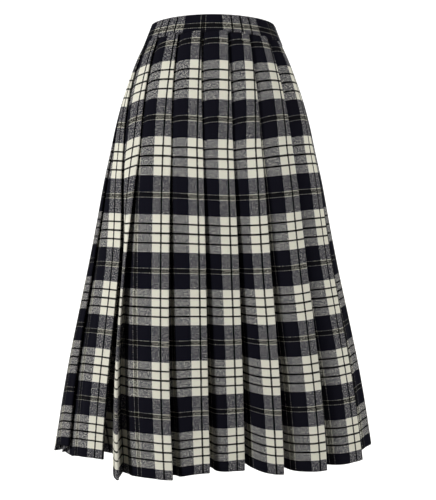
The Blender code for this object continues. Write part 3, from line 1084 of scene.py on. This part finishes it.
def band_section(levels, top, angle):
    """Outline of the waistband at one plan angle: up the outside, over the fold and down the inside.

    Low down, the inside stands further in, over the ends of the pleats that are sewn into the band.
    """
    half = BAND_CLOTH / 2
    under_lap = 1.0 - band_raise(angle) / (BAND_CLOTH + BAND_LAYER_GAP)
    outline = [band_point(levels[0], angle, half - BAND_EDGE_ROUND)]
    outline += [band_point(level, angle, half) for level in levels[1:]]
    over = levels[-1]
    for turn in np.linspace(0.0, math.pi, BAND_ROUND_STEPS * 2 + 1)[1:-1]:
        x, y, z = band_point(over, angle, half * math.cos(turn))
        outline.append((x, y, z + (top.z - over.z) * math.sin(turn)))
    for level in levels[::-1]:
        low = smooth(1.0 - (level.z - levels[0].z) / BAND_SPREAD_HEIGHT)
        outline.append(band_point(level, angle, -half - BAND_SPREAD * low * under_lap))
    return outline


class SKIRT_OT_waistband(bpy.types.Operator):
    """Make the doubled waistband with its lap"""

    bl_idname = "skirt.waistband"
    bl_label = "Waistband"

    def execute(self, context):
        sett = context.scene.skirt_sizes.sett
        levels, top = band_levels()
        angles = np.linspace(BAND_START, BAND_START + 360.0 + BAND_LAP, BAND_STEPS)
        sections = np.array([band_section(levels, top, angle) for angle in angles])
        reach = lengths(sections[:, BAND_ROWS // 2])
        across = (reach - float(np.interp(BAND_SETT_ANGLE + 360.0, angles, reach))) / sett
        drops = top.z - sections[:, :, 2] + top.side_lift * np.sin(np.radians(angles))[:, None] ** 2
        slope = 1.0 / math.cos(math.atan2(levels[0].half_width - top.half_width, top.z - levels[0].z))
        down = (drops * mix(1.0, slope, 0.5) - BAND_YELLOW_DROP) / sett
        count = sections.shape[1]
        uvs = np.stack([np.repeat(across, count), down.ravel()], axis=1)
        faces = [face[::-1] for face in loft_faces(BAND_STEPS, count)]
        band = mesh_object("waistband_cloth", sections.reshape(-1, 3), faces, tartan(), uvs)
        put_in_place(band, "waistband")
        return {"FINISHED"}


def button_place():
    """Matrix of the button's seat on the lap, with +Z out of the cloth."""
    top, seam = RINGS[0][0], RINGS[1][0]
    angle = BAND_START + BAND_LAP / 2 + 360.0

    def surface(z, turned=0.0):
        return Vector(band_point(Level(z), angle + turned, BAND_CLOTH / 2))

    middle = (top + seam) / 2
    upward = (surface(top) - surface(seam)).normalized()
    side = surface(middle, 1.0) - surface(middle, -1.0)
    outward = side.cross(upward).normalized()
    turned = Matrix((upward.cross(outward), upward, outward)).transposed().to_4x4()
    return Matrix.Translation(surface(middle)) @ turned


def thread_arc(place, left, right, up, rise):
    """Points of a thread that leaves one hole, crosses over and goes down another."""
    path = []
    for share in np.linspace(0.0, 1.0, THREAD_ARC_STEPS + 1):
        height = rise * max(0.0, math.sin(math.pi * share)) ** 0.5
        path.append(tuple(place @ Vector((mix(left, right, share), up, height))))
    return path


class SKIRT_OT_button(bpy.types.Operator):
    """Make the button, its thread and the buttonhole's stitches"""

    bl_idname = "skirt.button"
    bl_label = "Button"

    def execute(self, context):
        sizes = context.scene.skirt_sizes
        seat = button_place()
        place = seat @ Matrix.Translation((0.0, 0.0, BUTTON_GAP))
        self.make_disc(place, sizes)
        self.make_thread(place, sizes)
        self.make_buttonhole(seat, sizes)
        self.make_lap_stitches()
        return {"FINISHED"}

    def as_object(self, name, mesh):
        data = bpy.data.meshes.new(name)
        mesh.to_mesh(data)
        mesh.free()
        return add_object(name, data)

    def make_disc(self, place, sizes):
        mesh = bmesh.new()
        points = [
            mesh.verts.new((radius * sizes.button_radius, 0.0, height * sizes.button_thickness))
            for radius, height in BUTTON_OUTLINE
        ]
        edges = [mesh.edges.new(pair) for pair in zip(points, points[1:])]
        round_once = {"cent": (0, 0, 0), "axis": (0, 0, 1), "angle": 2 * math.pi, "steps": BUTTON_SIDES}
        bmesh.ops.spin(mesh, geom=points + edges, **round_once)
        bmesh.ops.remove_doubles(mesh, verts=mesh.verts[:], dist=1e-6)
        bmesh.ops.recalc_face_normals(mesh, faces=mesh.faces[:])
        disc = self.as_object("button disc", mesh)
        hole = BUTTON_HOLE_OFFSET
        drills = [self.drill(right, up, sizes) for right in (-hole, hole) for up in (-hole, hole)]
        for drill in drills:
            cut = disc.modifiers.new("hole", "BOOLEAN")
            cut.object = drill
            cut.operation = "DIFFERENCE"
        final = evaluated_mesh(disc)
        for thing in [disc, *drills]:
            bpy.data.objects.remove(thing, do_unlink=True)
        final.transform(place)
        final.shade_smooth()
        final.set_sharp_from_angle(angle=math.radians(BUTTON_SHARP_ANGLE))
        final.materials.append(plain_look("polished dark button", button_material))
        put_in_place(add_object("button_disc", final), "waist_button")

    def drill(self, right, up, sizes):
        mesh = bmesh.new()
        bmesh.ops.create_cone(
            mesh, cap_ends=True, segments=BUTTON_HOLE_SIDES, radius1=BUTTON_HOLE_RADIUS,
            radius2=BUTTON_HOLE_RADIUS, depth=sizes.button_thickness * 3,
            matrix=Matrix.Translation((right, up, 0.0)),
        )
        return self.as_object("drill", mesh)

    def make_thread(self, place, sizes):
        points, faces = [], []
        hole = BUTTON_HOLE_OFFSET
        rise = sizes.button_thickness * THREAD_RISE
        for up in (-hole, hole):
            for strand in THREAD_STRANDS:
                aside = strand * sizes.thread_radius * THREAD_SPACING
                path = thread_arc(place, -hole, hole, up + aside, rise)
                tube_points, tube_faces = tube_along(path, sizes.thread_radius)
                faces += [tuple(len(points) + k for k in face) for face in tube_faces]
                points += tube_points
        material = plain_look("sewing thread", thread_material)
        put_in_place(mesh_object("button_thread", points, faces, material), None)

    def make_buttonhole(self, seat, sizes):
        half = sizes.button_radius * BUTTONHOLE_SHARE
        rim = BUTTONHOLE_RIM
        paths = [[(x, y) for x in np.linspace(-half, half, 12)] for y in (-rim, rim)]
        turns = np.linspace(0, math.pi, 6)
        end = rim * BUTTONHOLE_END
        paths.append([(half + end * math.sin(turn), -rim * math.cos(turn)) for turn in turns])
        paths = [[seat @ Vector((x, y, BUTTONHOLE_RAISED)) for x, y in path] for path in paths]
        pitch = sizes.thread_radius * BUTTONHOLE_PITCH
        stitches("buttonhole_stitches", paths, pitch, rim * BUTTONHOLE_STITCH, 90.0)

    def make_lap_stitches(self):
        levels, _ = band_levels()
        end = BAND_START + 360.0 + BAND_LAP
        angle = end - levels[0].degrees_along(end, LAP_STITCH_INSET)
        out = BAND_CLOTH / 2 + LAP_STITCH_RAISED
        path = [band_point(level, angle, out) for level in levels[1:]]
        stitches("lap_stitches", [path], LAP_STITCH_PITCH, LAP_STITCH_LENGTH)


class SKIRT_OT_stage(bpy.types.Operator):
    """Make the pale floor and sweep, the soft lights and the camera"""

    bl_idname = "skirt.stage"
    bl_label = "Stage"

    def execute(self, context):
        self.make_backdrop()
        self.make_air(context.scene)
        for row in LIGHTS:
            self.add_light(*row)
        self.make_camera(context.scene)
        return {"FINISHED"}

    def make_backdrop(self):
        profile = [(-FLOOR_HALF, FLOOR_Z)]
        for turn in np.linspace(0.0, math.pi / 2, SWEEP_STEPS + 1):
            rise = SWEEP_RADIUS * (1 - math.cos(turn))
            profile.append((SWEEP_START + SWEEP_RADIUS * math.sin(turn), FLOOR_Z + rise))
        profile.append((SWEEP_START + SWEEP_RADIUS, SWEEP_TOP))
        points = [(x, y, z) for y, z in profile for x in (-FLOOR_HALF, FLOOR_HALF)]
        faces = [(2 * k, 2 * k + 1, 2 * k + 3, 2 * k + 2) for k in range(len(profile) - 1)]
        paper = plain_look("pale paper backdrop", backdrop_material)
        mesh_object("backdrop", points, faces, paper)

    def make_air(self, scene):
        world = bpy.data.worlds.new("studio air")
        world.use_nodes = True
        net = Net(world.node_tree)
        seen = net.add("ShaderNodeLightPath").outputs["Is Camera Ray"]
        strength = net.maths("MULTIPLY_ADD", seen, 1.0 - AIR_LIGHT, AIR_LIGHT)
        air = {"Color": (1.0, 1.0, 1.0, 1.0), "Strength": strength}
        net.fill(world.node_tree.nodes["Background"], air)
        scene.world = world
        scene.view_settings.view_transform = "Standard"

    def add_light(self, name, place, target, size, power):
        data = bpy.data.lights.new(name, "AREA")
        data.shape = "SQUARE"
        data.size = size
        data.energy = power
        light = add_object(name, data)
        light.location = place
        light.rotation_euler = (Vector(target) - Vector(place)).to_track_quat("-Z", "Y").to_euler()

    def make_camera(self, scene):
        data = bpy.data.cameras.new("camera")
        data.sensor_width = SENSOR
        data.lens = FOCAL_PIXELS / PHOTO_LONG_SIDE * SENSOR
        camera = add_object("camera", data)
        camera.location = CAMERA_PLACE
        camera.rotation_euler = (math.pi / 2 - math.atan(CAMERA_PITCH_PIXELS / FOCAL_PIXELS), 0.0, 0.0)
        scene.camera = camera


class SKIRT_PT_panel(bpy.types.Panel):
    """Buttons and settings for the skirt"""

    bl_idname = "SKIRT_PT_panel"
    bl_label = "Pleated tartan skirt"
    bl_space_type = "VIEW_3D"
    bl_region_type = "UI"
    bl_category = "Skirt"

    def draw(self, context):
        layout = self.layout
        for operator in OPERATORS:
            layout.operator(operator.bl_idname)
        for group in (context.scene.skirt_sizes, context.scene.skirt_colours):
            box = layout.box()
            for name in group.__annotations__:
                box.prop(group, name)


OPERATORS = (
    SKIRT_OT_stage,
    SKIRT_OT_panels,
    SKIRT_OT_waistband,
    SKIRT_OT_button,
)
CLASSES = (SkirtColours, SkirtSizes, *OPERATORS, SKIRT_PT_panel)


def register():
    for item in CLASSES:
        bpy.utils.register_class(item)
    bpy.types.Scene.skirt_colours = bpy.props.PointerProperty(type=SkirtColours)
    bpy.types.Scene.skirt_sizes = bpy.props.PointerProperty(type=SkirtSizes)


def unregister():
    del bpy.types.Scene.skirt_sizes
    del bpy.types.Scene.skirt_colours
    for item in reversed(CLASSES):
        bpy.utils.unregister_class(item)


def main():
    register()
    bpy.ops.skirt.stage()
    bpy.ops.skirt.panels()
    bpy.ops.skirt.waistband()
    bpy.ops.skirt.button()


if __name__ == "__main__":
    main()
